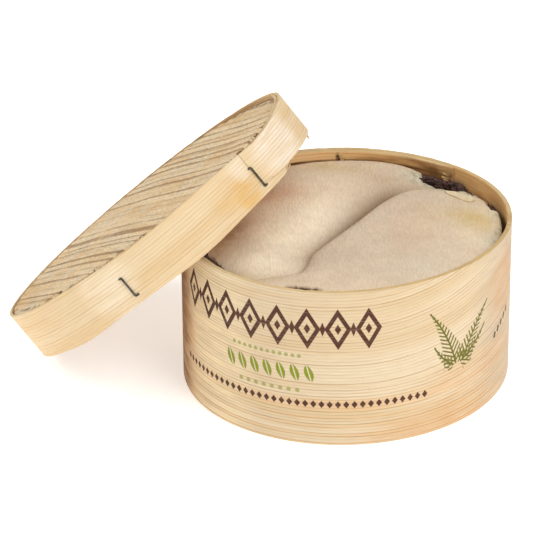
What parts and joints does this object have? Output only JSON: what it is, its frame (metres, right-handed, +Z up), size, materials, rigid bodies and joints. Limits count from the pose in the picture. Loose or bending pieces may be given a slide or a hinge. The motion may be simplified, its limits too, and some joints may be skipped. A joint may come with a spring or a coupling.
{
  "type": "bark-girdled soft cheese in its bent-wood box",
  "caption": "Soft washed-rind cheese girdled with bark in a round bent-spruce box, its lid leaning open on the rim; table food prop.",
  "frame": {"origin": "centre of the box's flat underside, on the surface it stands on", "axes": "+Z up out of the box; the lid leans on the box's rim on the -X side, its board facing up and towards -X"},
  "size_m": [0.2021, 0.1392, 0.1039],
  "materials": {
    "box_strip": "pale planed spruce strip with fine grain lines and faded printed marks",
    "lid_strip": "pale planed spruce strip, regular grain, slightly yellow",
    "base_board": "sawn spruce, matt",
    "lid_board": "rough-sawn weathered spruce, matt, brown growth lines",
    "rind": "soft washed rind, cream to pinkish brown, faint bloom",
    "bark": "dark damp spruce bark, ragged",
    "staple_wire": "dull dark steel wire"
  },
  "bodies": {
    "root": {"base_board": "base_board", "box_wall": "box_strip", "box_staple": "staple_wire", "cheese": "rind", "bark_girdle": "bark", "lid_board": "lid_board", "lid_rim": "lid_strip", "lid_staple_left": "staple_wire", "lid_staple_lap": "staple_wire"}
  },
  "joints": []
}
